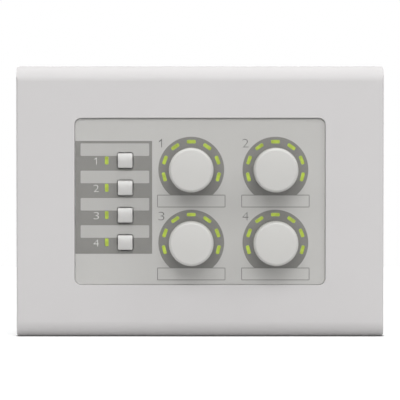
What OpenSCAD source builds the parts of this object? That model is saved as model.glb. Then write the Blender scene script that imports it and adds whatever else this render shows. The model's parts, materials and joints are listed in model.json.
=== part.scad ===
// Wall-mounted audio zone control panel with four knobs and four buttons, for a three-gang wall box.
// Millimetres. Upright, +Z is up, +X is to the right and the front faces -Y; the wall is y = 0.
// Each piece is drawn lying on its back: x right, y up, z out of the wall. on_wall() stands it up.

/* [Front plate] */
// Width of the front plate
plate_w = 164; // [156:0.5:180]
// Height of the front plate
plate_h = 121; // [112:0.5:135]
// Depth from the wall to the plate's front face
plate_depth = 9.5; // [8.8:0.1:12]
// Wall thickness of the plate
plate_wall = 2.2; // [1.6:0.1:2.8]
// Radius of the rolled top and bottom edges
roll_r = 6.7; // [4:0.1:7.5]
// Corner radius of the plate seen from the front
plate_corner_r = 1.3; // [0.6:0.1:3]
// Radius of the left and right front edges
side_edge_r = 0.8; // [0.3:0.1:1.5]
// Width of the window
window_w = 112; // [110:0.1:118]
// Height of the window
window_h = 74.5; // [74:0.1:80]
// Corner radius of the window
window_r = 3; // [1.5:0.1:5]
// Chamfer round the front of the window
window_chamfer = 0.2; // [0.1:0.05:0.6]
// Thickness of the lip that runs back round the window
window_lip = 1.4; // [1:0.1:2]
// Width of each snap that holds the plate on the yoke
snap_w = 12; // [6:0.5:16]
// Distance of the snaps from the middle
snap_x = 45; // [20:1:55]
// Reach of a snap from the plate's inner face
snap_out = 1.3; // [1:0.1:1.5]
// Thickness of a snap
snap_t = 1; // [0.8:0.1:1.2]

/* [Panel] */
// Depth of the clear panel below the plate's front face
panel_recess = 0.2; // [0.1:0.05:0.6]
// Thickness of the clear panel
panel_t = 1; // [0.8:0.1:2]
// Thickness of the printed label sheet
label_t = 0.3; // [0.2:0.05:0.5]
// Thickness of the chassis front wall
chassis_front = 2; // [1.6:0.1:2.5]
// Thickness of the chassis side walls
chassis_wall = 2; // [1.5:0.1:2.5]
// Thickness of the chassis ears
ear_t = 2.4; // [1.8:0.1:3]
// Height of each chassis ear
ear_h = 11; // [9:0.5:14]
// Distance of the chassis ear screws from the middle line
ear_screw_y = 24; // [20:0.5:28]

/* [Knobs] */
// Distance of the right column of knobs from the window's edge
knob_inset = 22.3; // [20.4:0.1:24]
// Distance between the two columns of knobs
knob_pitch_x = 37.6; // [34:0.1:40]
// Height of the upper row of knobs above the middle
knob_top_y = 14.2; // [13:0.1:15]
// Distance between the two rows of knobs
knob_pitch_y = 32.6; // [31:0.1:33]
// Outer radius of a knob over its knurl
knob_r = 10; // [8.5:0.1:10.5]
// Height of a knob
knob_h = 13.6; // [12:0.1:18]
// Gap between the panel and a knob
knob_gap = 0.6; // [0.5:0.1:1.5]
// Wall thickness of a knob's skirt
knob_wall = 1.6; // [1.2:0.1:2]
// Thickness of a knob's face
knob_face_t = 2.4; // [1.8:0.1:3]
// Radius of the rounded rim of a knob's face
knob_rim_r = 1.3; // [0.4:0.1:1.6]
// Rise of a knob's face from its edge to its middle
knob_crown = 0.55; // [0.2:0.05:0.8]
// Number of ridges in the knurl
knurl_count = 72; // [48:1:90]
// Depth of the knurl
knurl_depth = 0.3; // [0.15:0.05:0.5]
// Plain band of a knob below and above the knurl
knurl_margin = 1.7; // [1:0.1:2.5]
// Wall thickness of a knob's hub
hub_wall = 1.5; // [1.2:0.1:2]

/* [Encoders] */
// Radius of an encoder shaft
shaft_r = 3; // [2.5:0.1:3.2]
// Distance of the shaft's flat from its axis
shaft_flat = 1.5; // [1.2:0.1:1.8]
// Length of the flat on a shaft
shaft_flat_l = 8; // [6:0.5:9]
// Wall thickness of a bushing
bushing_wall = 0.5; // [0.4:0.05:0.8]
// Width of an encoder housing
housing_w = 12.4; // [11.5:0.1:13.5]
// Height of an encoder housing
housing_h = 4; // [3.6:0.1:5]
// Radius of the rotor inside a housing
rotor_r = 4.5; // [4:0.1:5]
// Thickness of the rotor
rotor_t = 1.6; // [1.2:0.1:1.8]
// Thickness of a bushing's flange
flange_t = 1.2; // [1:0.1:1.5]
// Space between an encoder and the chassis front wall
encoder_room = 1.1; // [0.8:0.1:2]
// Thickness of the spring clip in a knob's hub
clip_t = 0.3; // [0.2:0.05:0.4]
// Width of the spring clip
clip_w = 3.2; // [2.5:0.1:3.6]

/* [Buttons] */
// Distance of the column of buttons from the window's left edge
button_inset = 22.6; // [21.1:0.1:24]
// Height of the top button above the middle
button_top_y = 18.3; // [17:0.1:19]
// Distance between neighbouring buttons
button_pitch = 12.2; // [11.5:0.1:12.6]
// Width of a button
button_w = 6.6; // [6:0.1:7.2]
// Height of a button above the panel
button_proud = 1.8; // [1.4:0.1:3.5]
// Radius of a button's edges
button_edge_r = 0.6; // [0.3:0.1:1]
// Radius of a button's crowned face
button_crown_r = 8; // [7.5:0.5:40]
// Overhang of the rim that keeps a button in
button_rim = 0.9; // [0.6:0.1:1.2]
// Thickness of that rim
button_rim_t = 1; // [0.8:0.1:1.2]
// Width of a switch body
switch_w = 6; // [5.5:0.1:6.5]
// Height of a switch body
switch_h = 3.4; // [3:0.1:3.8]
// Radius of a switch plunger
plunger_r = 1.65; // [1.4:0.05:2]
// Height of a plunger above its switch
plunger_proud = 0.7; // [0.6:0.05:0.9]
// Length of a plunger inside its switch
plunger_sunk = 1; // [0.8:0.1:1.3]
// Free depth under a plunger for its travel
plunger_room = 0.8; // [0.6:0.1:1]

/* [Lights] */
// Number of lit windows round a knob
light_count = 7; // [3:2:9]
// Angle between neighbouring lit windows
light_step = 35; // [25:1:38]
// Radius of the ring of lit windows
light_r = 12.5; // [12.3:0.1:13.2]
// Length of a lit window along the ring
light_l = 3.8; // [3.2:0.1:5]
// Width of a lit window across the ring
light_w = 1.4; // [1.2:0.05:2]
// Corner radius of the lit windows
light_corner = 0.5; // [0.2:0.1:0.6]
// Thickness of the rings and the strip that join the light guides
guide_t = 1.2; // [0.9:0.1:1.5]
// Width of those rings and that strip
guide_w = 3.2; // [2.8:0.1:3.6]
// Length of a light guide's leg along the ring
leg_l = 3; // [2.2:0.1:3.2]
// Width of a leg
leg_w = 1.2; // [1:0.1:1.5]
// Distance of the lit bars beside the buttons from the window's left edge
bar_inset = 14.3; // [13.1:0.1:15.2]
// Width of a lit bar
bar_w = 1.5; // [1.3:0.1:2]
// Height of a lit bar
bar_h = 3.4; // [3.2:0.1:4]
// Length of an LED on the board
led_l = 2; // [1.6:0.1:2.4]
// Width of an LED
led_w = 1.2; // [0.8:0.1:1.4]
// Height of an LED
led_t = 0.7; // [0.5:0.1:0.9]
// Gap between an LED and its light guide
led_gap = 0.3; // [0.1:0.05:0.5]

/* [Board] */
// Thickness of the main board
board_t = 1.6; // [1:0.1:2]
// Gap round the main board
board_gap = 1; // [0.6:0.1:1.5]
// Inset of the board's screws from its corners
board_screw_inset = 3.2; // [3:0.1:3.8]
// Wall thickness of the chassis posts that carry the board
post_wall = 1.2; // [1:0.1:1.5]
// Depth of the screw holes in those posts
post_hole = 5; // [4.5:0.1:5.5]
// Width of the controller chip
controller_w = 14; // [10:0.5:16]
// Thickness of the chips
chip_t = 1.5; // [1:0.1:2]
// Width of the coil
coil_w = 8; // [6:0.5:10]
// Height of the coil
coil_h = 4; // [3:0.1:5]
// Radius of the capacitors
capacitor_r = 4; // [3:0.1:5]
// Height of the capacitors
capacitor_h = 11.5; // [8:0.5:13]
// Height of the row of chips and capacitors above the middle
parts_y = -15; // [-17:0.5:-14]
// Distance between neighbours in that row
parts_pitch = 20; // [17:0.5:21]

/* [Jacks and setting switch] */
// Width of a network jack
jack_w = 15.8; // [15.5:0.1:17]
// Height of a network jack
jack_h = 13.2; // [13:0.1:15]
// Length of a network jack
jack_l = 18; // [17:0.1:21]
// Length of a jack outside the rear cover
jack_proud = 0.5; // [0.2:0.1:1]
// Distance of the outer jack from the rear cover's right wall
jack_inset = 13; // [11:0.5:19]
// Distance between the two jacks
jack_pitch = 20; // [18.5:0.5:22]
// Height of the jacks and the setting switch above the middle
jack_y = 8; // [0:0.5:15]
// Width of a jack's socket
socket_w = 11.9; // [11.7:0.1:12.2]
// Height of a jack's socket
socket_h = 6.8; // [6.6:0.1:7]
// Depth of a jack's socket
socket_l = 14; // [12:0.1:15]
// Height of the socket above the middle of its jack
socket_y = 0.5; // [0.2:0.1:1]
// Width of the wide step of the latch groove
latch_wide = 6.2; // [6:0.1:6.5]
// Width of the narrow step of the latch groove
latch_narrow = 4; // [3.5:0.1:4.5]
// Height of each step of the latch groove
latch_h = 1.4; // [1:0.1:1.5]
// Distance of the contacts from the mouth of their jack
contact_start = 4; // [3:0.1:5]
// Thickness of a contact
contact_t = 0.5; // [0.3:0.05:0.6]
// Width of a contact
contact_w = 0.45; // [0.3:0.05:0.6]
// Distance between neighbouring contacts
contact_pitch = 1.02; // [1:0.01:1.04]
// Bend of a contact into the socket
contact_bend = 1.2; // [0.8:0.1:1.5]
// Number of levers on the setting switch
lever_count = 6; // [2:1:6]
// Distance between neighbouring levers
lever_pitch = 2.54; // [2.4:0.01:2.8]
// Distance of the setting switch from the rear cover's left wall
setting_inset = 31; // [25:0.5:38]
// Height of the setting switch on the board
setting_h = 4.2; // [3.6:0.1:5]
// Wall above and below the levers of the setting switch
setting_wall = 2.8; // [2:0.1:3.5]
// Wall beside the end levers of the setting switch
setting_side = 1.6; // [1.2:0.1:2]
// Travel of a lever
lever_travel = 2; // [1.5:0.1:2.4]
// Width of a lever
lever_w = 1.3; // [1:0.1:1.5]
// Length of a lever along its travel
lever_l = 1.6; // [1.2:0.1:2]
// Height of a lever above its switch
lever_proud = 0.9; // [0.6:0.1:1.2]
// Depth of a lever inside its switch
lever_sunk = 1.6; // [1:0.1:2]

/* [Yoke and rear cover] */
// Distance between neighbouring gangs of the wall box
gang_pitch = 46.04; // [46:0.01:46.1]
// Distance between the upper and lower box screws
box_screw_rise = 83.34; // [83:0.01:83.5]
// Radius of the box screw holes
box_hole_r = 2; // [1.9:0.05:2.3]
// Length of the outer box screw slots
box_slot_l = 7; // [6:0.5:9]
// Gap between the yoke and the plate's side walls
yoke_side_gap = 6.8; // [5:0.1:9]
// Sheet thickness of the yoke
yoke_t = 1.2; // [1:0.1:1.5]
// Distance of the yoke's bent lips from its ends
yoke_lip_inset = 8; // [5:0.5:12]
// Overlap of the chassis on the yoke
yoke_ledge = 2.8; // [2.6:0.1:3.2]
// Sheet thickness of the rear cover
cover_t = 1; // [0.8:0.1:1.2]
// Radius of the rear cover's bent edges
cover_r = 2; // [1.5:0.1:3]
// Height of the rear cover's ears
cover_ear_h = 30; // [26:0.5:34]
// Distance of the rear cover's screws from the middle line
cover_screw_y = 9; // [7:0.5:10]
// Border of the opening round the setting switch
access_border = 1.5; // [1:0.1:2.5]
// Number of vent slots
vent_count = 9; // [3:1:11]
// Distance between neighbouring vent slots
vent_pitch = 5; // [4:0.1:6]
// Length of a vent slot
vent_l = 11; // [8:0.5:12]
// Width of a vent slot
vent_w = 2; // [1.5:0.1:2.5]
// Height of the row of vents above the middle
vent_y = -17.5; // [-20:0.5:-16]

/* [Screws] */
// Shank radius of the screws
screw_r = 1.3; // [1.2:0.05:1.5]
// Head radius of the screws
screw_head_r = 2.6; // [2.4:0.1:2.8]
// Head height of the screws
screw_head_h = 1.7; // [1.4:0.1:2]
// Radius of the dome on a screw head
screw_dome_r = 3.5; // [3:0.1:5]
// Length of the cross in a screw head
cross_l = 3; // [2.4:0.1:3.4]
// Width of the cross
cross_w = 0.5; // [0.4:0.05:0.7]
// Depth of the cross
cross_depth = 0.9; // [0.6:0.1:1.1]
// Length of a screw's end past the sheet it is driven through
screw_end = 0.4; // [0.2:0.1:1]

/* [Fits] */
// Gap between the panel and the window
panel_gap = 0.2; // [0.15:0.05:0.5]
// Gap between the label sheet and the clear panel
label_slack = 0.1; // [0.05:0.05:0.2]
// Clearance of a turning fit on the radius
running_fit = 0.05; // [0.02:0.01:0.08]
// Clearance of a small sliding piece on each side
slide_fit = 0.1; // [0.08:0.01:0.15]
// Clearance round a button
button_clear = 0.3; // [0.2:0.05:0.4]
// Clearance of a piece that is put through or into another
loose_fit = 0.3; // [0.2:0.05:0.4]
// Clearance of a screw in its hole
screw_fit = 0.05; // [0.02:0.01:0.1]
// Room between pieces that are assembled past each other
assembly_gap = 0.5; // [0.3:0.1:0.8]
// Room round a screw head
head_room = 1; // [0.6:0.1:1.5]

/* [Hidden] */
$fn = 96;
knob_columns = 2;
knob_rows = 2;
button_count = 4;
contact_count = 8;
KNOBS = [0:knob_columns * knob_rows - 1];
BUTTONS = [0:button_count - 1];
LIGHTS = [0:light_count - 1];
LEVERS = [0:lever_count - 1];
JACKS = [0:1];

// Extra length of a cutting shape past the face that it cuts
cut = 1;

// Heights above the wall, from the front face backwards
panel_front = plate_depth - panel_recess;
panel_back = panel_front - panel_t;
label_front = panel_back - label_slack;
chassis_top = label_front - label_t;
chassis_back = chassis_top - chassis_front;
flange_top = chassis_back - encoder_room;
housing_top = flange_top - flange_t;
board_front = housing_top - housing_h;
board_back = board_front - board_t;
ear_top = yoke_t + ear_t;

// Front plate
plate_inner_y = plate_h / 2 - plate_wall;
roll_inner_r = roll_r - plate_wall;
lip_back = ear_top + assembly_gap;
snap_bottom = yoke_t + loose_fit;
snap_top = snap_bottom + snap_t;
snap_ramp = snap_t / 2;

// Outline of the panel, the label and the chassis
panel_w = window_w - 2 * panel_gap;
panel_h = window_h - 2 * panel_gap;
panel_r = window_r - panel_gap;
ear_screw_x = window_w / 2 + window_lip + screw_head_r + head_room;
ear_reach = ear_screw_x + screw_head_r + head_room;
post_r = screw_r + screw_fit + post_wall;

// Yoke, whose lips end short of the plate's rolled edges
yoke_w = plate_w - 2 * (plate_wall + yoke_side_gap);
yoke_lip_w = yoke_w - 2 * yoke_lip_inset;
yoke_y = plate_inner_y - assembly_gap;
yoke_lip_reach = plate_depth - roll_r - assembly_gap
    + sqrt(pow(roll_inner_r, 2) - pow(roll_inner_r - assembly_gap, 2));
opening_w = panel_w - 2 * yoke_ledge;
opening_h = panel_h - 2 * yoke_ledge;

// Board and rear cover
board_w = opening_w - 2 * board_gap;
board_h = opening_h - 2 * board_gap;
board_screw_x = board_w / 2 - board_screw_inset;
board_screw_y = board_h / 2 - board_screw_inset;
jack_mouth = board_back - jack_l;
cover_back = jack_mouth + jack_proud;
cover_w = opening_w + 2 * cover_t;
cover_h = opening_h + 2 * cover_t;

// Places across the front, from the window's edges, and across the back, from the cover's walls
knob_left_x = window_w / 2 - knob_inset - knob_pitch_x * (knob_columns - 1);
button_x = button_inset - window_w / 2;
bar_x = bar_inset - window_w / 2;
jack_x = opening_w / 2 - jack_inset - jack_pitch;
setting_x = setting_inset - opening_w / 2;

// Encoders and knobs
shaft_bore = shaft_r + running_fit;
bushing_r = shaft_bore + bushing_wall;
bushing_hole = bushing_r + loose_fit;
bushing_top = panel_front - loose_fit;
rotor_top = housing_top - loose_fit;
rotor_bottom = rotor_top - rotor_t;
knob_bottom = panel_front + knob_gap;
knob_top = knob_bottom + knob_h;
hub_bottom = knob_bottom + assembly_gap;
hub_r = shaft_bore + hub_wall;
shaft_end = knob_top - knob_face_t - assembly_gap;
flat_start = shaft_end - shaft_flat_l;
clip_flat = shaft_flat + clip_t + 2 * running_fit;
// Depth of the plain bands below the knurl's valleys
knurl_step = 0.05;
cap_r = knob_r - knurl_depth - knurl_step;
knob_dome_r = (pow(cap_r, 2) + pow(knob_crown, 2)) / (2 * knob_crown);
// Height by which the rim's rounding starts above the dome, so that the two cross
rim_lift = 0.01;
rim_drop = knob_dome_r - sqrt(pow(knob_dome_r, 2) - pow(cap_r - knob_rim_r, 2));
rim_y = knob_h - rim_drop - knob_rim_r + rim_lift;

// Buttons and switches
button_hole = button_w + 2 * button_clear;
button_hole_r = button_edge_r + 2 * button_clear;
button_front = panel_front + button_proud;
button_rim_top = chassis_back - slide_fit;
button_rim_bottom = button_rim_top - button_rim_t;
button_rim_w = button_w + 2 * button_rim;
switch_top = board_front + switch_h;
plunger_top = switch_top + plunger_proud;
plunger_bottom = switch_top - plunger_sunk;

// Light guides
guide_back = chassis_back - guide_t;
guide_end = board_front + led_t + led_gap;

// Sockets and levers
latch_w = [latch_wide, latch_narrow];
contact_tip = jack_mouth + contact_start;
setting_back = board_back - setting_h;
lever_slot_l = lever_l + lever_travel + 2 * slide_fit;
setting_w = (lever_count - 1) * lever_pitch + lever_w + 2 * (slide_fit + setting_side);
setting_d = lever_slot_l + 2 * setting_wall;

// Colours as seen on the object
plate_grey = "#cfcccc";
panel_clear = [0.86, 0.9, 0.88, 0.35];
label_grey = "#bfbdbb";
knob_white = "#d6d4d0";
light_green = "#b5c83f";
plastic_grey = "#8b8987";
plastic_black = "#26272a";
steel = "#a9adb0";
brass = "#b89a56";
board_green = "#2f6b45";

function knob_place(i) = [
    knob_left_x + knob_pitch_x * (i % knob_columns),
    knob_top_y - knob_pitch_y * floor(i / knob_columns),
    0
];
function button_place(i) = [button_x, button_top_y - button_pitch * i, 0];
function bar_place(i) = [bar_x, button_top_y - button_pitch * i, 0];
function jack_place(i) = [jack_x + jack_pitch * i, jack_y, 0];
function lever_place(i) = [setting_x + lever_pitch * (i - (lever_count - 1) / 2), jack_y, 0];
function light_angle(k) = light_step * (k - (light_count - 1) / 2);

// Stands a piece upright against the wall.
module on_wall() {
    rotate([90, 0, 0]) children();
}

// Extrudes an outline from one height to another.
module slab(bottom, top) {
    translate([0, 0, bottom]) linear_extrude(top - bottom) children();
}

// Extrudes a section, drawn with its height as y, along x.
module along_x(length) {
    rotate([90, 0, 90]) translate([0, 0, -length / 2]) linear_extrude(length) children();
}

// Extrudes a section, drawn with its height as y, along y.
module along_y(length) {
    rotate([90, 0, 0]) translate([0, 0, -length / 2]) linear_extrude(length) children();
}

module rounded_rect(w, h, r) {
    square([w - 2 * r, h], center = true);
    square([w, h - 2 * r], center = true);
    for (sx = [-1, 1], sy = [-1, 1])
        translate([sx * (w / 2 - r), sy * (h / 2 - r)]) circle(r);
}

module slot_outline(length, r) {
    square([length - 2 * r, 2 * r], center = true);
    for (s = [-1, 1]) translate([s * (length / 2 - r), 0]) circle(r);
}

// Section of a block whose two front edges are rounded.
module rolled_section(w, d, r) {
    translate([-w / 2, 0]) square([w, d - r]);
    translate([-w / 2 + r, 0]) square([w - 2 * r, d]);
    for (s = [-1, 1]) translate([s * (w / 2 - r), d - r]) circle(r);
}

// Block with one radius on its upper and lower front edges, one on its side edges and one on its corners.
module rolled_block(w, h, d, roll, edge, corner) {
    intersection() {
        along_x(w) rolled_section(h, d, roll);
        along_y(h) rolled_section(w, d, edge);
        linear_extrude(d) rounded_rect(w, h, corner);
    }
}

module four_corners(x, y) {
    for (sx = [-1, 1], sy = [-1, 1]) translate([sx * x, sy * y, 0]) children();
}

// Pan-head screw standing on z = 0, with its shank below.
module pan_screw(shank_l) {
    difference() {
        union() {
            intersection() {
                cylinder(r = screw_head_r, h = screw_head_h);
                translate([0, 0, screw_head_h - screw_dome_r]) sphere(screw_dome_r);
            }
            translate([0, 0, -shank_l]) cylinder(r = screw_r, h = shank_l + screw_head_h / 2);
        }
        for (a = [0, 90])
            rotate(a) translate([0, 0, screw_head_h])
                cube([cross_l, cross_w, 2 * cross_depth], center = true);
    }
}

module screw_hole() {
    circle(screw_r + screw_fit);
}

// Openings in the front for the bushings and the buttons.
module control_openings(gap) {
    hole_w = button_hole + 2 * gap;
    for (i = KNOBS) translate(knob_place(i)) circle(bushing_hole + gap);
    for (i = BUTTONS) translate(button_place(i)) rounded_rect(hole_w, hole_w, button_hole_r);
}

// Openings in the front for the light guides.
module light_openings() {
    for (i = KNOBS, k = LIGHTS)
        translate(knob_place(i)) rotate(-light_angle(k)) translate([0, light_r])
            rounded_rect(light_l + 2 * slide_fit, light_w + 2 * slide_fit, light_corner);
    for (i = BUTTONS)
        translate(bar_place(i)) rounded_rect(bar_w + 2 * slide_fit, bar_h + 2 * slide_fit, light_corner);
}

module chamfer_section(w, bottom) {
    c = window_chamfer;
    translate([0, bottom]) polygon([[-w / 2, 0], [w / 2, 0], [w / 2 + c, c], [-w / 2 - c, c]]);
}

module window_chamfer_cut() {
    bottom = plate_depth - window_chamfer;
    four_corners(window_w / 2 - window_r, window_h / 2 - window_r) translate([0, 0, bottom])
        cylinder(r1 = window_r, r2 = window_r + window_chamfer, h = window_chamfer);
    along_y(window_h - 2 * window_r) chamfer_section(window_w, bottom);
    along_x(window_w - 2 * window_r) chamfer_section(window_h, bottom);
}

// Catch on the inside of the plate's upper wall, sloped on the side that meets the yoke first.
module snap() {
    root = plate_inner_y + plate_wall / 2;
    tip = plate_inner_y - snap_out;
    along_x(snap_w) polygon([
        [root, snap_bottom],
        [plate_inner_y, snap_bottom],
        [tip, snap_bottom + snap_ramp],
        [tip, snap_top],
        [root, snap_top]
    ]);
}

module front_plate() {
    color(plate_grey) difference() {
        union() {
            difference() {
                rolled_block(plate_w, plate_h, plate_depth, roll_r, side_edge_r, plate_corner_r);
                translate([0, 0, -cut]) along_x(plate_w - 2 * plate_wall)
                    rolled_section(2 * plate_inner_y, plate_depth - plate_wall + cut, roll_inner_r);
            }
            slab(lip_back, plate_depth - plate_wall / 2)
                rounded_rect(window_w + 2 * window_lip, window_h + 2 * window_lip, window_r + window_lip);
            for (s = [-1, 1], m = [0, 1])
                mirror([0, m, 0]) translate([s * snap_x, 0, 0]) snap();
        }
        slab(-cut, plate_depth + cut) rounded_rect(window_w, window_h, window_r);
        window_chamfer_cut();
    }
}

module mounting_yoke() {
    snap_slot = [snap_w + 2 * loose_fit, 2 * yoke_t, snap_t + 2 * loose_fit];
    color(steel) difference() {
        union() {
            slab(0, yoke_t) square([yoke_w, 2 * yoke_y], center = true);
            for (m = [0, 1])
                mirror([0, m, 0]) translate([-yoke_lip_w / 2, yoke_y - yoke_t, 0])
                    cube([yoke_lip_w, yoke_t, yoke_lip_reach]);
        }
        slab(-cut, yoke_t + cut) {
            rounded_rect(opening_w, opening_h, cover_r);
            four_corners(gang_pitch, box_screw_rise / 2) slot_outline(box_slot_l, box_hole_r);
            for (s = [-1, 1]) translate([0, s * box_screw_rise / 2]) circle(box_hole_r);
            four_corners(ear_screw_x, ear_screw_y) screw_hole();
            four_corners(ear_screw_x, cover_screw_y) screw_hole();
        }
        four_corners(snap_x, yoke_y - yoke_t / 2) translate([0, 0, (snap_bottom + snap_top) / 2])
            cube(snap_slot, center = true);
    }
}

module clear_panel() {
    color(panel_clear) slab(panel_back, panel_front) difference() {
        rounded_rect(panel_w, panel_h, panel_r);
        control_openings(slide_fit);
    }
}

module label_sheet() {
    color(label_grey) slab(chassis_top, label_front) difference() {
        rounded_rect(panel_w, panel_h, panel_r);
        control_openings(slide_fit);
        light_openings();
    }
}

module panel_chassis() {
    color(plastic_grey) difference() {
        union() {
            slab(yoke_t, chassis_top) difference() {
                rounded_rect(panel_w, panel_h, panel_r);
                square([panel_w - 2 * chassis_wall, panel_h - 2 * chassis_wall], center = true);
            }
            slab(chassis_back, chassis_top) rounded_rect(panel_w, panel_h, panel_r);
            for (s = [-1, 1]) translate([0, s * ear_screw_y, 0]) slab(yoke_t, ear_top) difference() {
                rounded_rect(2 * ear_reach, ear_h, panel_r);
                square([panel_w - chassis_wall, ear_h + cut], center = true);
            }
            four_corners(board_screw_x, board_screw_y) slab(board_front, chassis_top) circle(post_r);
        }
        slab(chassis_back - cut, chassis_top + cut) {
            control_openings(0);
            light_openings();
        }
        four_corners(ear_screw_x, ear_screw_y) slab(yoke_t - cut, ear_top + cut) screw_hole();
        four_corners(board_screw_x, board_screw_y)
            slab(board_front - cut, board_front + post_hole) screw_hole();
    }
}

module main_board() {
    color(board_green) slab(board_back, board_front) difference() {
        rounded_rect(board_w, board_h, cover_r);
        four_corners(board_screw_x, board_screw_y) screw_hole();
    }
}

// Controller, driver chip, coil and two capacitors, in a row on the back of the board.
module board_components() {
    color(plastic_black) translate([0, parts_y, 0]) {
        slab(board_back - chip_t, board_back) square(controller_w, center = true);
        translate([parts_pitch, 0, 0]) slab(board_back - chip_t, board_back)
            square(controller_w / 2, center = true);
        translate([2 * parts_pitch, 0, 0]) slab(board_back - coil_h, board_back)
            rounded_rect(coil_w, coil_w, coil_w / 4);
        for (k = [1, 2])
            translate([-k * parts_pitch, 0, 0]) slab(board_back - capacitor_h, board_back)
                circle(capacitor_r);
    }
}

module led_chip() {
    translate([-led_l / 2, -led_w / 2, board_front]) cube([led_l, led_w, led_t]);
}

module panel_leds() {
    color(light_green) {
        for (i = KNOBS, k = LIGHTS)
            translate(knob_place(i)) rotate(-light_angle(k)) translate([0, light_r, 0]) led_chip();
        for (i = BUTTONS) translate(bar_place(i)) rotate(90) led_chip();
    }
}

// Strip behind the chassis wall with a guide through the wall and a leg to the LED for each bar.
module button_light_guide() {
    span = button_pitch * (button_count - 1);
    color(light_green) {
        translate([bar_x, button_top_y - span / 2, 0])
            slab(guide_back, chassis_back) square([guide_w, span + bar_h + guide_w], center = true);
        for (i = BUTTONS) translate(bar_place(i)) {
            slab(guide_back, label_front) rounded_rect(bar_w, bar_h, light_corner);
            slab(guide_end, chassis_back) square([leg_w, leg_l], center = true);
        }
    }
}

// Ring behind the chassis wall with a guide through the wall and a leg to the LED for each window.
module light_ring(i) {
    color(light_green) translate(knob_place(i)) {
        slab(guide_back, chassis_back) difference() {
            circle(light_r + guide_w / 2);
            circle(light_r - guide_w / 2);
        }
        for (k = LIGHTS) rotate(-light_angle(k)) translate([0, light_r, 0]) {
            slab(guide_back, label_front) rounded_rect(light_l, light_w, light_corner);
            slab(guide_end, chassis_back) square([leg_l, leg_w], center = true);
        }
    }
}

module encoder_housing(i) {
    color(plastic_black) translate(knob_place(i)) difference() {
        slab(board_front, housing_top) square(housing_w, center = true);
        slab(rotor_bottom - loose_fit, housing_top + cut) circle(rotor_r + loose_fit);
    }
}

module encoder_bushing(i) {
    color(brass) translate(knob_place(i)) difference() {
        union() {
            slab(housing_top, flange_top) square(housing_w, center = true);
            slab(housing_top, bushing_top) circle(bushing_r);
        }
        slab(housing_top - cut, bushing_top + cut) circle(shaft_bore);
    }
}

// Circle cut flat on its upper side.
module d_outline(r, flat) {
    difference() {
        circle(r);
        translate([-r, flat]) square(2 * r);
    }
}

module encoder_shaft(i) {
    color(steel) translate(knob_place(i)) {
        slab(rotor_bottom, rotor_top) circle(rotor_r);
        slab(rotor_bottom, flat_start) circle(shaft_r);
        slab(flat_start, shaft_end) d_outline(shaft_r, shaft_flat);
    }
}

module knurl_outline() {
    steps = 2 * knurl_count;
    radius = [for (k = [0:steps - 1]) knob_r - knurl_depth * (k % 2)];
    polygon([for (k = [0:steps - 1]) radius[k] * [cos(360 * k / steps), sin(360 * k / steps)]]);
}

// Half section of a knob's outside, with its rounded rim, before the dome is cut.
module cap_section() {
    square([cap_r, rim_y]);
    square([cap_r - knob_rim_r, knob_h]);
    translate([cap_r - knob_rim_r, rim_y]) circle(knob_rim_r);
}

module knob(i) {
    color(knob_white) translate(knob_place(i)) difference() {
        union() {
            intersection() {
                translate([0, 0, knob_bottom]) rotate_extrude() cap_section();
                translate([0, 0, knob_top - knob_dome_r]) rotate([90, 0, 0]) sphere(knob_dome_r);
            }
            slab(knob_bottom + knurl_margin, knob_top - knurl_margin) knurl_outline();
        }
        slab(knob_bottom - cut, knob_top - knob_face_t) difference() {
            circle(cap_r - knob_wall);
            circle(hub_r);
        }
        slab(knob_bottom - cut, hub_bottom) circle(cap_r - knob_wall);
        slab(hub_bottom - cut, flat_start) circle(shaft_bore);
        slab(flat_start - running_fit, shaft_end + running_fit) d_outline(shaft_bore, clip_flat);
    }
}

// Leaf spring between the flat of the shaft and the flat of the knob's bore.
module knob_clip(i) {
    bottom = flat_start + running_fit;
    color(steel) translate(knob_place(i)) translate([-clip_w / 2, shaft_flat + running_fit, bottom])
        cube([clip_w, clip_t, shaft_end - bottom]);
}

// Section of a button from the side: a crowned face that runs into two rounded edges.
module crowned_section(w, d, r, crown_r) {
    centre = d - crown_r;
    edge = w / 2 - r;
    edge_y = centre + sqrt(pow(crown_r - r, 2) - pow(edge, 2));
    touch = edge * crown_r / (crown_r - r);
    translate([-w / 2, 0]) square([w, edge_y]);
    for (s = [-1, 1]) translate([s * edge, edge_y]) circle(r);
    intersection() {
        translate([-touch, 0]) square([2 * touch, d]);
        translate([0, centre]) circle(crown_r);
    }
}

module button(i) {
    r = button_edge_r;
    d = button_front - button_rim_top;
    color(knob_white) translate(button_place(i)) {
        translate([0, 0, button_rim_top]) intersection() {
            along_x(button_w) crowned_section(button_w, d, r, button_crown_r);
            along_y(button_w) rolled_section(button_w, d, r);
            linear_extrude(d) rounded_rect(button_w, button_w, r);
        }
        slab(button_rim_bottom, button_rim_top) rounded_rect(button_rim_w, button_rim_w, r);
        slab(plunger_top, button_rim_bottom) circle(plunger_r);
    }
}

module switch_plunger(i) {
    color(plastic_black) translate(button_place(i)) slab(plunger_bottom, plunger_top) circle(plunger_r);
}

module switch_body(i) {
    color(steel) translate(button_place(i)) difference() {
        slab(board_front, switch_top) square(switch_w, center = true);
        slab(plunger_bottom - plunger_room, switch_top + cut) circle(plunger_r + slide_fit);
    }
}

module jack(i) {
    color(plastic_black) translate(jack_place(i)) difference() {
        slab(jack_mouth, board_back) square([jack_w, jack_h], center = true);
        slab(jack_mouth - cut, jack_mouth + socket_l) translate([0, socket_y]) {
            square([socket_w, socket_h], center = true);
            for (k = [0, 1])
                translate([0, -(socket_h + latch_h * (k + 1)) / 2])
                    square([latch_w[k], latch_h * (k + 1)], center = true);
        }
    }
}

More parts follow.
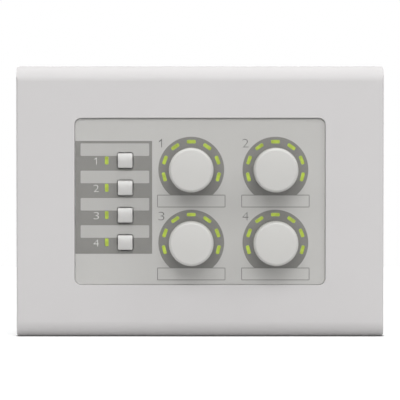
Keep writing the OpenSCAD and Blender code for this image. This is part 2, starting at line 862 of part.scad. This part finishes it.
module jack_contacts() {
    top = socket_y + socket_h / 2 - slide_fit;
    root = jack_mouth + socket_l;
    color(brass) for (i = JACKS, k = [0:contact_count - 1])
        translate(jack_place(i)) translate([contact_pitch * (k - (contact_count - 1) / 2), 0, 0])
            along_x(contact_w) polygon([
                [top, root],
                [top - contact_t, root],
                [top - contact_t - contact_bend, contact_tip],
                [top - contact_bend, contact_tip]
            ]);
}

module setting_switch() {
    color(plastic_black) difference() {
        translate([setting_x, jack_y, 0]) slab(setting_back, board_back)
            square([setting_w, setting_d], center = true);
        for (i = LEVERS)
            translate(lever_place(i)) slab(setting_back - cut, setting_back + lever_sunk + slide_fit)
                square([lever_w + 2 * slide_fit, lever_slot_l], center = true);
    }
}

module setting_lever(i) {
    color(knob_white) translate(lever_place(i)) translate([0, -lever_travel / 2, 0])
        slab(setting_back - lever_proud, setting_back + lever_sunk) square([lever_w, lever_l], center = true);
}

module rear_cover() {
    inner_r = cover_r - cover_t / 2;
    color(steel) difference() {
        union() {
            mirror([0, 0, 1]) rolled_block(cover_w, cover_h, -cover_back, cover_r, cover_r, cover_r);
            slab(-cover_t, 0) rounded_rect(2 * ear_reach, cover_ear_h, cover_r);
        }
        translate([0, 0, cut]) mirror([0, 0, 1])
            rolled_block(opening_w, opening_h, cut - cover_back - cover_t, inner_r, inner_r, inner_r);
        four_corners(ear_screw_x, cover_screw_y) slab(-cover_t - cut, cut) screw_hole();
        slab(cover_back - cut, cover_back + cover_t + cut) {
            for (i = JACKS) translate(jack_place(i))
                square([jack_w + 2 * loose_fit, jack_h + 2 * loose_fit], center = true);
            translate([setting_x, jack_y])
                square([setting_w + 2 * access_border, setting_d + 2 * access_border], center = true);
            for (k = [0:vent_count - 1])
                translate([vent_pitch * (k - (vent_count - 1) / 2), vent_y])
                    rotate(90) slot_outline(vent_l, vent_w / 2);
        }
    }
}

module chassis_screws() {
    color(steel) four_corners(ear_screw_x, ear_screw_y)
        translate([0, 0, ear_top]) pan_screw(ear_top + screw_end);
}

module board_screws() {
    color(steel) four_corners(board_screw_x, board_screw_y)
        translate([0, 0, board_back]) mirror([0, 0, 1]) pan_screw(board_t + post_hole - loose_fit);
}

module rear_cover_screws() {
    color(steel) four_corners(ear_screw_x, cover_screw_y)
        translate([0, 0, -cover_t]) mirror([0, 0, 1]) pan_screw(cover_t + yoke_t + screw_end);
}

on_wall() front_plate();
on_wall() mounting_yoke();
on_wall() clear_panel();
on_wall() label_sheet();
on_wall() panel_chassis();
on_wall() main_board();
on_wall() board_components();
on_wall() panel_leds();
on_wall() button_light_guide();
on_wall() jack(0);  // jack_in
on_wall() jack(1);  // jack_out
on_wall() jack_contacts();
on_wall() setting_switch();
on_wall() rear_cover();
on_wall() chassis_screws();
on_wall() board_screws();
on_wall() rear_cover_screws();
for (i = KNOBS) {
    on_wall() knob(i);
    on_wall() knob_clip(i);
    on_wall() encoder_shaft(i);
    on_wall() encoder_bushing(i);
    on_wall() encoder_housing(i);
    on_wall() light_ring(i);
}
for (i = BUTTONS) {
    on_wall() button(i);
    on_wall() switch_plunger(i);
    on_wall() switch_body(i);
}
for (i = LEVERS)
    on_wall() setting_lever(i);
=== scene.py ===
import json
import math

import bmesh
import bpy
from mathutils import Matrix, Vector


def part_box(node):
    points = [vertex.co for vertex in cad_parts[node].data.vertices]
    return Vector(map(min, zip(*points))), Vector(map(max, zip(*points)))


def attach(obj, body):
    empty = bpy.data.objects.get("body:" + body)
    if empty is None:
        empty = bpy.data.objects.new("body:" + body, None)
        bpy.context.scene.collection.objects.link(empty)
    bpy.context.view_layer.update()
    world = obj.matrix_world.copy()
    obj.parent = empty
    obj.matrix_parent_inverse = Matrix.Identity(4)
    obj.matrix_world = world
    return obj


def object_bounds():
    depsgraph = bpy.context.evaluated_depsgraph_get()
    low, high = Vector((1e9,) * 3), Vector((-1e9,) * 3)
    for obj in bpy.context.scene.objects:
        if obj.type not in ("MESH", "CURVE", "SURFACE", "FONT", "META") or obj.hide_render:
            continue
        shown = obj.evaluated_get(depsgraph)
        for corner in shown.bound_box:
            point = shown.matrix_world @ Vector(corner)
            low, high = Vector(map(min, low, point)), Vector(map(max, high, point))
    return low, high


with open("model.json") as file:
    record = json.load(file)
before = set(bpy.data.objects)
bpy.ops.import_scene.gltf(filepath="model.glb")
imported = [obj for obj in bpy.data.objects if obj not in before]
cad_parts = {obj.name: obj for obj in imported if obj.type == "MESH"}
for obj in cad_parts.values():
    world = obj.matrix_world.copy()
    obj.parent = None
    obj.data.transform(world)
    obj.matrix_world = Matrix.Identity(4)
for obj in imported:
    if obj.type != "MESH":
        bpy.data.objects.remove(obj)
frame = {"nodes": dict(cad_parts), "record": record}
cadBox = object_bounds()
nodes = frame["nodes"]
scene = bpy.context.scene
mm = 0.001
faceFront = Matrix.Rotation(math.pi / 2, 4, "X")  # stands a flat shape up to face the front


def linear(hexColour):  # sRGB hex to the linear values that shaders read
    parts = [int(hexColour[i:i + 2], 16) / 255 for i in (1, 3, 5)]
    return [c / 12.92 if c <= 0.04045 else ((c + 0.055) / 1.055) ** 2.4 for c in parts] + [1.0]


def addNode(tree, kind, settings=None, links=None):
    node = tree.nodes.new(kind)
    for name, value in (settings or {}).items():
        if isinstance(name, int) or name in node.inputs:
            node.inputs[name].default_value = value
        else:
            setattr(node, name, value)
    for name, output in (links or {}).items():
        tree.links.new(output, node.inputs[name])
    return node


def startMaterial(name):
    material = bpy.data.materials.new(name)
    material.use_nodes = True
    tree = material.node_tree
    tree.nodes.clear()
    place = addNode(tree, "ShaderNodeTexCoord").outputs["Object"]
    return material, tree, place


def endMaterial(tree, shader):
    addNode(tree, "ShaderNodeOutputMaterial", links={"Surface": shader.outputs[0]})


# ABS, injection moulded in a spark-eroded tool: an even satin grey, faintly clouded by the flow of the
# melt, with a fine pebbled grain that spreads every highlight. The real grain is 0.1 mm, drawn coarser so
# it shows.
def mouldedAbs(name, colour, cloud, grain=0.45, relief=0.012, roughness=0.5):
    material, tree, place = startMaterial(name)
    flow = addNode(tree, "ShaderNodeTexNoise", {"Scale": 1 / (35 * mm), "Detail": 3.0}, {"Vector": place})
    tint = addNode(tree, "ShaderNodeMix", {"data_type": "RGBA", 6: linear(colour), 7: linear(cloud)},
                   {0: flow.outputs[0]})
    pebble = addNode(tree, "ShaderNodeTexNoise", {"Scale": 1 / (grain * mm), "Detail": 2.0},
                     {"Vector": place})
    sheen = addNode(tree, "ShaderNodeMapRange", {"To Min": roughness - 0.06, "To Max": roughness + 0.06},
                    {"Value": pebble.outputs[0]})
    bump = addNode(tree, "ShaderNodeBump", {"Strength": 0.35, "Distance": relief * mm},
                   {"Height": pebble.outputs[0]})
    shader = addNode(tree, "ShaderNodeBsdfPrincipled", {"IOR": 1.53},
                     {"Base Color": tint.outputs[2], "Roughness": sheen.outputs[0],
                      "Normal": bump.outputs[0]})
    endMaterial(tree, shader)
    return material


# Acrylic, moulded clear and coated against glare, so its IOR is set below acrylic's own 1.49: the print
# shows through it, lamps pass it, and its smooth face adds only a faint veil.
def mouldedAcrylic(name):
    material, tree, place = startMaterial(name)
    ripple = addNode(tree, "ShaderNodeTexNoise", {"Scale": 1 / (18 * mm), "Detail": 1.0}, {"Vector": place})
    sheen = addNode(tree, "ShaderNodeMapRange", {"To Min": 0.02, "To Max": 0.06},
                    {"Value": ripple.outputs[0]})
    glass = addNode(tree, "ShaderNodeBsdfPrincipled",
                    {"Base Color": linear("#fdfefd"), "IOR": 1.28, "Transmission Weight": 1.0},
                    {"Roughness": sheen.outputs[0]})
    opening = addNode(tree, "ShaderNodeBsdfTransparent", {"Color": linear("#fafafa")})
    path = addNode(tree, "ShaderNodeLightPath")
    passing = addNode(tree, "ShaderNodeMath", {"operation": "MAXIMUM"},
                      {0: path.outputs["Is Shadow Ray"], 1: path.outputs["Is Diffuse Ray"]})
    shader = addNode(tree, "ShaderNodeMixShader", links={0: passing.outputs[0], 1: glass.outputs[0],
                                                         2: opening.outputs[0]})
    endMaterial(tree, shader)
    return material


# Ink or film colour, screen printed and dried matt: flat and even, with a barely uneven deposit. The real
# screen is 0.1 mm, drawn coarser so it shows.
def screenPrint(name, colour, thin, roughness=0.6):
    material, tree, place = startMaterial(name)
    deposit = addNode(tree, "ShaderNodeTexNoise", {"Scale": 1 / (6 * mm), "Detail": 4.0}, {"Vector": place})
    tint = addNode(tree, "ShaderNodeMix", {"data_type": "RGBA", 6: linear(colour), 7: linear(thin)},
                   {0: deposit.outputs[0]})
    mesh = addNode(tree, "ShaderNodeTexNoise", {"Scale": 1 / (0.3 * mm)}, {"Vector": place})
    bump = addNode(tree, "ShaderNodeBump", {"Strength": 0.1, "Distance": 0.004 * mm},
                   {"Height": mesh.outputs[0]})
    shader = addNode(tree, "ShaderNodeBsdfPrincipled", {"IOR": 1.5, "Roughness": roughness},
                     {"Base Color": tint.outputs[2], "Normal": bump.outputs[0]})
    endMaterial(tree, shader)
    return material


# Polycarbonate, tinted and lit from the board: a soft yellow-green glow, uneven within each window and from
# one to the next.
def litPolycarbonate(name, colour, glow):
    material, tree, place = startMaterial(name)
    spread = addNode(tree, "ShaderNodeTexNoise", {"Scale": 1 / (2.2 * mm), "Detail": 1.0}, {"Vector": place})
    level = addNode(tree, "ShaderNodeMapRange",
                    {"From Min": 0.3, "From Max": 0.7, "To Min": 0.78, "To Max": 1.18},
                    {"Value": spread.outputs[0]})
    shader = addNode(tree, "ShaderNodeBsdfPrincipled",
                     {"Base Color": linear(colour), "Emission Color": linear(glow), "IOR": 1.58,
                      "Roughness": 0.4, "Specular IOR Level": 0.2},
                     {"Emission Strength": level.outputs[0]})
    endMaterial(tree, shader)
    return material


# Sheet steel, rolled and zinc plated: soft metal grey with faint streaks along the rolling direction.
def zincPlatedSteel(name, colour, streak, roughness=0.38):
    material, tree, place = startMaterial(name)
    along = addNode(tree, "ShaderNodeMapping", {"Scale": (0.06, 1.0, 1.0)}, {"Vector": place})
    rolled = addNode(tree, "ShaderNodeTexNoise", {"Scale": 1 / (0.8 * mm), "Detail": 4.0},
                     {"Vector": along.outputs[0]})
    tint = addNode(tree, "ShaderNodeMix", {"data_type": "RGBA", 6: linear(colour), 7: linear(streak)},
                   {0: rolled.outputs[0]})
    sheen = addNode(tree, "ShaderNodeMapRange", {"To Min": roughness - 0.08, "To Max": roughness + 0.1},
                    {"Value": rolled.outputs[0]})
    bump = addNode(tree, "ShaderNodeBump", {"Strength": 0.15, "Distance": 0.01 * mm},
                   {"Height": rolled.outputs[0]})
    shader = addNode(tree, "ShaderNodeBsdfPrincipled", {"Metallic": 1.0},
                     {"Base Color": tint.outputs[2], "Roughness": sheen.outputs[0],
                      "Normal": bump.outputs[0]})
    endMaterial(tree, shader)
    return material


# Sheet steel, hot-dip galvanised: a patchwork of grey zinc crystals with ragged borders, each with its own
# shine.
def galvanisedSheet(name, dark, light, stray=1.6):
    material, tree, place = startMaterial(name)
    ragged = addNode(tree, "ShaderNodeTexNoise", {"Scale": 1 / (1.5 * mm), "Detail": 2.0}, {"Vector": place})
    uneven = addNode(tree, "ShaderNodeVectorMath", {"operation": "MULTIPLY_ADD", 1: (stray * mm,) * 3},
                     {0: ragged.outputs["Color"], 2: place})
    spangle = addNode(tree, "ShaderNodeTexVoronoi", {"Scale": 1 / (3 * mm)}, {"Vector": uneven.outputs[0]})
    cell = addNode(tree, "ShaderNodeSeparateColor", links={"Color": spangle.outputs["Color"]})
    tint = addNode(tree, "ShaderNodeMix", {"data_type": "RGBA", 6: linear(dark), 7: linear(light)},
                   {0: cell.outputs[0]})
    sheen = addNode(tree, "ShaderNodeMapRange", {"To Min": 0.38, "To Max": 0.55}, {"Value": cell.outputs[1]})
    pit = addNode(tree, "ShaderNodeTexNoise", {"Scale": 1 / (0.6 * mm), "Detail": 3.0}, {"Vector": place})
    bump = addNode(tree, "ShaderNodeBump", {"Strength": 0.12, "Distance": 0.01 * mm},
                   {"Height": pit.outputs[0]})
    shader = addNode(tree, "ShaderNodeBsdfPrincipled", {"Metallic": 0.9},
                     {"Base Color": tint.outputs[2], "Roughness": sheen.outputs[0],
                      "Normal": bump.outputs[0]})
    endMaterial(tree, shader)
    return material


# Brass, drawn and plated: warm yellow metal with small dull patches.
def platedBrass(name, colour, dull):
    material, tree, place = startMaterial(name)
    patch = addNode(tree, "ShaderNodeTexNoise", {"Scale": 1 / (1.5 * mm), "Detail": 3.0}, {"Vector": place})
    tint = addNode(tree, "ShaderNodeMix", {"data_type": "RGBA", 6: linear(colour), 7: linear(dull)},
                   {0: patch.outputs[0]})
    sheen = addNode(tree, "ShaderNodeMapRange", {"To Min": 0.22, "To Max": 0.4}, {"Value": patch.outputs[0]})
    shader = addNode(tree, "ShaderNodeBsdfPrincipled", {"Metallic": 1.0},
                     {"Base Color": tint.outputs[2], "Roughness": sheen.outputs[0]})
    endMaterial(tree, shader)
    return material


# Glass-epoxy laminate under solder mask: glossy green with the weave of the glass cloth just showing. The
# real weave is 0.5 mm, drawn coarser so it shows.
def maskedLaminate(name, colour, track):
    material, tree, place = startMaterial(name)
    weave = addNode(tree, "ShaderNodeTexBrick",
                    {"Scale": 1 / (6 * mm), "Color1": linear(colour), "Color2": linear(track),
                     "Mortar": linear(track)}, {"Vector": place})
    shader = addNode(tree, "ShaderNodeBsdfPrincipled", {"IOR": 1.55, "Roughness": 0.3},
                     {"Base Color": weave.outputs[0]})
    endMaterial(tree, shader)
    return material


finishes = {
    "plate_plastic": mouldedAbs("plateAbs", "#cfcdcd", "#cccaca"),
    "knob_plastic": mouldedAbs("knobAbs", "#cbcac7", "#c8c7c4", grain=0.35, roughness=0.42),
    "button_plastic": mouldedAbs("buttonAbs", "#cac9c7", "#c7c6c4", grain=0.3, roughness=0.32),
    "chassis_plastic": mouldedAbs("chassisAbs", "#4d4d4f", "#48484a", roughness=0.55),
    "black_plastic": mouldedAbs("blackThermoset", "#1d1d1f", "#232325", relief=0.008, roughness=0.45),
    "switch_red": mouldedAbs("redPolyester", "#a3201c", "#981b18", relief=0.006, roughness=0.4),
    "clear_acrylic": mouldedAcrylic("clearAcrylic"),
    "label_print": screenPrint("filmGrey", "#c7c5c3", "#c4c2c0"),
    "light_plastic": litPolycarbonate("litPolycarbonate", "#30360c", "#a2b53a"),
    "yoke_steel": zincPlatedSteel("yokeZinc", "#b4b7b9", "#9fa3a6"),
    "screw_steel": zincPlatedSteel("screwZinc", "#c0c1bf", "#abadab", roughness=0.3),
    "shaft_steel": zincPlatedSteel("shaftNickel", "#b8b6b0", "#a8a6a0", roughness=0.25),
    "cover_steel": galvanisedSheet("coverGalvanised", "#abafb1", "#b8bcbe"),
    "brass": platedBrass("contactBrass", "#d9bd74", "#c2a35c"),
    "board_laminate": maskedLaminate("boardLaminate", "#1d5a36", "#174b2d"),
}
for part in frame["record"]["subparts"]:
    nodes[part["node"]].data.materials.clear()
    nodes[part["node"]].data.materials.append(finishes[part["material_slot"]])
print("finishes:", len(finishes), "materials on the carried-over nodes")

# Places on the front, from the frame
zones = range(1, 5)
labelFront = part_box("label_sheet")[0].y
knobPlaces = [sum(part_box(f"knob_{i}"), Vector()) / 2 for i in zones]
buttonPlaces = [sum(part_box(f"button_{i}"), Vector()) / 2 for i in zones]

inkColours = {
    "block": screenPrint("inkDarkGrey", "#868481", "#83817e"),
    "field": screenPrint("inkFieldGrey", "#bbb9b7", "#b8b6b4"),
    "ring": screenPrint("inkRingGrey", "#807e7b", "#7d7b78"),
    "line": screenPrint("inkLineGrey", "#807e7c", "#7d7b79"),
    "digit": screenPrint("inkDigitGrey", "#716f6d", "#6e6c6a"),
    "white": screenPrint("inkWhite", "#dad8d6", "#d6d4d2"),
}

# One pass of ink: its thickness, how far the stencil reaches in front of the label, the steps of a round
# corner, and the distance below which points are merged
inkPass = {"thickness": 0.03 * mm, "reach": 0.15 * mm, "cornerSteps": 5, "weld": 0.002 * mm}


def meshOf(thing):  # what an object looks like after its modifiers, or a text's outline
    return bpy.data.meshes.new_from_object(thing.evaluated_get(bpy.context.evaluated_depsgraph_get()))


# Stencil: the label's own outline and openings, pushed forward through the ink
stencil = bpy.data.objects.new("stencil", nodes["label_sheet"].data.copy())
stencilMesh = bmesh.new()
stencilMesh.from_mesh(stencil.data)
bmesh.ops.remove_doubles(stencilMesh, verts=stencilMesh.verts, dist=inkPass["weld"] / 2)
bmesh.ops.translate(stencilMesh, verts=stencilMesh.verts, vec=(0, -inkPass["reach"], 0))
stencilMesh.to_mesh(stencil.data)
stencilMesh.free()
scene.collection.objects.link(stencil)


def tile(bm, width, height, corner, x, z):  # flat tile with round corners, seen from the front, in mm
    made = bmesh.ops.create_grid(bm, x_segments=1, y_segments=1, size=0.5, matrix=faceFront)["verts"]
    bmesh.ops.scale(bm, verts=made, vec=(width * mm, 1, height * mm))
    bmesh.ops.translate(bm, verts=made, vec=(x * mm, 0, z * mm))
    if corner:
        bmesh.ops.bevel(bm, geom=made, affect="VERTICES", offset=corner * mm,
                        segments=inkPass["cornerSteps"], profile=0.5, material=-1)


orderAlong = Vector((3.7, 11.3, 1.0))  # a slanting direction, along which hardly any two points tie


def placeKey(part):  # how far along a point, an edge or a face lies
    points = [part] if isinstance(part, bmesh.types.BMVert) else part.verts
    return sum(orderAlong.dot(v.co) for v in points) / len(points)


def inOrder(bm):  # the Boolean lists its parts in another order each run, so they are sorted by place
    for parts in (bm.verts, bm.edges, bm.faces):
        parts.sort(key=placeKey)


def layPrint(name, bm, layer, ink, cutOpenings=True):  # thickens flat faces and lays them on the label
    for v in bm.verts:
        v.co.y = labelFront - inkPass["thickness"] * layer
    raised = bmesh.ops.extrude_face_region(bm, geom=bm.faces[:])["geom"]
    bmesh.ops.translate(bm, verts=[g for g in raised if isinstance(g, bmesh.types.BMVert)],
                        vec=(0, -inkPass["thickness"], 0))
    bmesh.ops.recalc_face_normals(bm, faces=bm.faces)
    mesh = bpy.data.meshes.new(name)
    bm.to_mesh(mesh)
    bm.free()
    piece = bpy.data.objects.new(name, mesh)
    scene.collection.objects.link(piece)
    if cutOpenings:
        cut = piece.modifiers.new("openings", "BOOLEAN")
        cut.operation = "INTERSECT"
        cut.solver = "EXACT"
        cut.object = stencil
        piece.data = meshOf(piece)
        piece.data.name = name
        piece.modifiers.clear()
    trimmed = bmesh.new()
    trimmed.from_mesh(piece.data)
    inOrder(trimmed)
    bmesh.ops.remove_doubles(trimmed, verts=trimmed.verts, dist=inkPass["weld"])
    inOrder(trimmed)
    bmesh.ops.dissolve_degenerate(trimmed, edges=trimmed.edges, dist=inkPass["weld"])
    inOrder(trimmed)
    bmesh.ops.triangulate(trimmed, faces=trimmed.faces)
    trimmed.to_mesh(piece.data)
    trimmed.free()
    piece.data.materials.clear()
    piece.data.materials.append(inkColours[ink])
    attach(piece, "root")


# Dark block behind the buttons, with a light name field above each button
blockPrint = {"left": -55.7, "right": -21.4, "top": 27.05, "bottom": -23.4}
block = bmesh.new()
tile(block, blockPrint["right"] - blockPrint["left"], blockPrint["top"] - blockPrint["bottom"], 0,
     (blockPrint["right"] + blockPrint["left"]) / 2, (blockPrint["top"] + blockPrint["bottom"]) / 2)
layPrint("print_button_block", block, 0, "block")

fieldPrint = {"left": -53.35, "right": -22.7, "height": 5.6, "rise": 4.85, "corner": 0.4}
fields = bmesh.new()
for place in buttonPlaces:
    tile(fields, fieldPrint["right"] - fieldPrint["left"], fieldPrint["height"], fieldPrint["corner"],
         (fieldPrint["right"] + fieldPrint["left"]) / 2, place.z / mm + fieldPrint["rise"])
layPrint("print_name_fields", fields, 1, "field")

# Ring round each knob, cut flat above its name box
ringPrint = {"outer": 14.7, "inner": 4.2, "flat": 11.2, "steps": 120}
boxPrint = {"width": 30.5, "height": 5.65, "corner": 0.4, "line": 0.32}
boxes = bmesh.new()
for number, place in enumerate(knobPlaces, 1):
    ring = bmesh.new()
    ends = [ring.verts.new((ringPrint[r] * mm, 0, 0)) for r in ("inner", "outer")]
    edge = ring.edges.new(ends)
    bmesh.ops.spin(ring, geom=[*ends, edge], cent=(0, 0, 0), axis=(0, 1, 0), angle=2 * math.pi,
                   steps=ringPrint["steps"], use_merge=True)
    bmesh.ops.bisect_plane(ring, geom=[*ring.verts, *ring.edges, *ring.faces],
                           plane_co=(0, 0, -ringPrint["flat"] * mm), plane_no=(0, 0, -1), clear_outer=True)
    bmesh.ops.translate(ring, verts=ring.verts, vec=(place.x, 0, place.z))
    layPrint(f"print_ring_{number}", ring, 0, "ring")
    tile(boxes, boxPrint["width"], boxPrint["height"], boxPrint["corner"], place.x / mm,
         place.z / mm - ringPrint["flat"] - boxPrint["height"] / 2)
lines = bmesh.ops.inset_individual(boxes, faces=boxes.faces[:], thickness=boxPrint["line"] * mm,
                                   use_even_offset=True)["faces"]
bmesh.ops.delete(boxes, geom=[f for f in boxes.faces if f not in lines], context="FACES")
layPrint("print_name_boxes", boxes, 1, "line", cutOpenings=False)


# Plain numbers, as tall and wide as set. The font's strokes are too bold, so their outlines are inset. Its
# one is a bare stroke, so it is drawn here with a flag, by shares of its width, stroke or flag height.
oneShares = {"stem": 0.62, "top": 0.7, "flagFoot": 1.55, "armpit": 0.85}
fontWeld = 0.008  # in font units, merges edges too short to inset


def figure(number, size):
    bm = bmesh.new()
    if number == 1:
        stroke, flag, tip = size["stroke"] / size["width"], size["flag"] / size["height"], size["tip"]
        right = oneShares["stem"]
        outline = [(right, 0), (right, 1), (right - stroke * oneShares["top"], 1), (tip, 1 - flag),
                   (tip, 1 - oneShares["flagFoot"] * flag), (right - stroke, 1 - oneShares["armpit"] * flag),
                   (right - stroke, 0)]
        bm.faces.new([bm.verts.new((x, 0, z)) for x, z in outline])
        low, high = Vector((0, 0, 0)), Vector((1, 0, 1))
    else:
        curve = bpy.data.curves.new("figure", "FONT")
        curve.body = str(number)
        text = bpy.data.objects.new("figure", curve)
        scene.collection.objects.link(text)
        outline = meshOf(text)
        bpy.data.objects.remove(text)
        outline.transform(faceFront)
        bm.from_mesh(outline)
        bmesh.ops.remove_doubles(bm, verts=bm.verts, dist=fontWeld)
        border = bmesh.ops.inset_region(bm, faces=bm.faces[:], thickness=size["thin"], use_boundary=True,
                                        use_even_offset=True)["faces"]
        bmesh.ops.delete(bm, geom=border, context="FACES")
        low = Vector(min(v.co[i] for v in bm.verts) for i in range(3))
        high = Vector(max(v.co[i] for v in bm.verts) for i in range(3))
    bmesh.ops.translate(bm, verts=bm.verts, vec=-(low + high) / 2)
    bmesh.ops.scale(bm, verts=bm.verts, vec=(size["width"] * mm / (high.x - low.x), 1,
                                             size["height"] * mm / (high.z - low.z)))
    return bm


def layFigures(name, places, size, layer, ink):
    row = bmesh.new()
    for number, (x, z) in enumerate(places, 1):
        bm = figure(number, size)
        bmesh.ops.translate(bm, verts=bm.verts, vec=(x, 0, z))
        held = bpy.data.meshes.new("figure")
        bm.to_mesh(held)
        bm.free()
        row.from_mesh(held)
    layPrint(name, row, layer, ink, cutOpenings=False)


buttonFigures = {"x": -46.4, "down": 0.25, "height": 3.15, "width": 2.45, "stroke": 0.28, "flag": 0.65,
                 "tip": 0.2, "thin": 0.02}
layFigures("print_button_numbers",
           [(buttonFigures["x"] * mm, place.z - buttonFigures["down"] * mm) for place in buttonPlaces],
           buttonFigures, 1, "white")
knobFigures = {"left": -13.4, "up": 11.85, "height": 3.75, "width": 2.75, "stroke": 0.36, "flag": 0.95,
               "tip": 0.12, "thin": 0.02}
layFigures("print_knob_numbers",
           [(place.x + knobFigures["left"] * mm, place.z + knobFigures["up"] * mm) for place in knobPlaces],
           knobFigures, 0, "digit")
bpy.data.objects.remove(stencil)
print("prints: block, fields, rings, name boxes and numbers laid on the label")

# Camera, at the photograph's angle
view = {"distance": 1.3, "across": 178.6, "elevation": 1.6, "aim": (0.0, 0.68), "sensor": 36}
camera = bpy.data.objects.new("camera", bpy.data.cameras.new("camera"))
scene.collection.objects.link(camera)
camera.data.sensor_width = view["sensor"]
camera.data.lens = view["sensor"] * view["distance"] / (view["across"] * mm)
tilt = math.radians(view["elevation"])
aim = Vector((view["aim"][0] * mm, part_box("front_plate")[0].y, view["aim"][1] * mm))
camera.location = aim + view["distance"] * Vector((0, -math.cos(tilt), math.sin(tilt)))
camera.rotation_euler = (math.pi / 2 - tilt, 0, 0)
scene.camera = camera

# Floor: pale paper under the panel's lower edge, seen as white where no shadow falls. Painted shade darkens
# it
# into the crease under that edge: where ambient occlusion closes in, its colour turns dark and its glow dims
# Painted shade: the dark crease colour, spread by ambient occlusion within the contact distance
floorSettings = {"below": 0.02, "side": 1.2, "cells": 8, "seen": "#eeeeee", "bounce": "#c0c0c0",
                 "paintedCreaseShade": "#303030", "glow": 0.12, "lift": 0.25, "contact": 1.5, "falloff": 2.0, "rays": 16}
floorMesh = bmesh.new()
bmesh.ops.create_grid(floorMesh, x_segments=floorSettings["cells"], y_segments=floorSettings["cells"],
                      size=floorSettings["side"] / 2,
                      matrix=Matrix.Translation((0, 0, cadBox[0].z - floorSettings["below"] * mm)))
floorData = bpy.data.meshes.new("floor")
floorMesh.to_mesh(floorData)
floorMesh.free()
floor = bpy.data.objects.new("floor", floorData)
scene.collection.objects.link(floor)


def seenStraight(tree):  # 1 for what is seen, also mirrored or through glass, 0 for light on the object
    path = addNode(tree, "ShaderNodeLightPath")
    clear = addNode(tree, "ShaderNodeMath", {"operation": "MAXIMUM"},
                    {0: path.outputs["Is Glossy Ray"], 1: path.outputs["Is Transmission Ray"]})
    return addNode(tree, "ShaderNodeMath", {"operation": "MAXIMUM"},
                   {0: path.outputs["Is Camera Ray"], 1: clear.outputs[0]}).outputs[0]


material, tree, _ = startMaterial("floorPaper")
seen = seenStraight(tree)
# Painted shade: ambient occlusion in the crease under the panel's edge mixes in a dark colour and dims the
# glow
paintedCreaseShade = addNode(tree, "ShaderNodeAmbientOcclusion",
                 {"Distance": floorSettings["contact"] * mm, "samples": floorSettings["rays"]})
clearance = addNode(tree, "ShaderNodeMath", {"operation": "POWER", 1: floorSettings["falloff"]},
                    {0: paintedCreaseShade.outputs["AO"]}).outputs[0]
shown = addNode(tree, "ShaderNodeMix", {"data_type": "RGBA", 6: linear(floorSettings["paintedCreaseShade"]),
                                        7: linear(floorSettings["seen"])}, {0: clearance})
tone = addNode(tree, "ShaderNodeMix", {"data_type": "RGBA", 6: linear(floorSettings["bounce"])},
               {0: seen, 7: shown.outputs[2]})
paper = addNode(tree, "ShaderNodeBsdfDiffuse", links={"Color": tone.outputs[2]})
most = addNode(tree, "ShaderNodeMath", {"operation": "MULTIPLY", 1: floorSettings["lift"]}, {0: clearance})
lift = addNode(tree, "ShaderNodeMapRange", {"To Min": floorSettings["glow"]},
               {"Value": seen, "To Max": most.outputs[0]})
glow = addNode(tree, "ShaderNodeEmission", links={"Strength": lift.outputs[0]})
endMaterial(tree, addNode(tree, "ShaderNodeAddShader", links={0: paper.outputs[0], 1: glow.outputs[0]}))
floorData.materials.append(material)

# World: even soft light, seen as white
worldSettings = {"light": 0.12, "seen": 1.0}
world = bpy.data.worlds.new("studio")
scene.world = world
world.use_nodes = True
tree = world.node_tree
tree.nodes.clear()
level = addNode(tree, "ShaderNodeMapRange",
                {"To Min": worldSettings["light"], "To Max": worldSettings["seen"]},
                {"Value": seenStraight(tree)})
sky = addNode(tree, "ShaderNodeBackground", {"Color": (1, 1, 1, 1)}, {"Strength": level.outputs[0]})
addNode(tree, "ShaderNodeOutputWorld", links={"Surface": sky.outputs[0]})

# Lamps: a broad softbox overhead, one above the camera, and weaker ones at the sides and behind
lamps = {
    "overhead": {"place": (0.0, 0.1, 1.6), "size": (2.2, 1.2), "power": 16.6},
    "front": {"place": (0.0, -1.39, 0.98), "size": (1.2, 0.9), "power": 16.2},
    "left": {"place": (-1.21, -0.7, 0.98), "size": (1.0, 0.9), "power": 3.0},
    "right": {"place": (1.21, -0.7, 0.98), "size": (1.0, 0.9), "power": 7.4},
    "back": {"place": (0.0, 1.4, 0.35), "size": (1.2, 0.6), "power": 6.0},
}
for name, lamp in lamps.items():
    data = bpy.data.lights.new(name, "AREA")
    data.shape = "RECTANGLE"
    data.size, data.size_y = lamp["size"]
    data.energy = lamp["power"]
    light = bpy.data.objects.new(name, data)
    light.location = lamp["place"]
    light.rotation_euler = (-Vector(lamp["place"])).to_track_quat("-Z", "Y").to_euler()
    light.visible_camera = False
    scene.collection.objects.link(light)
scene.view_settings.view_transform = "Standard"
print("stage: camera, floor, world and", len(lamps), "lamps")
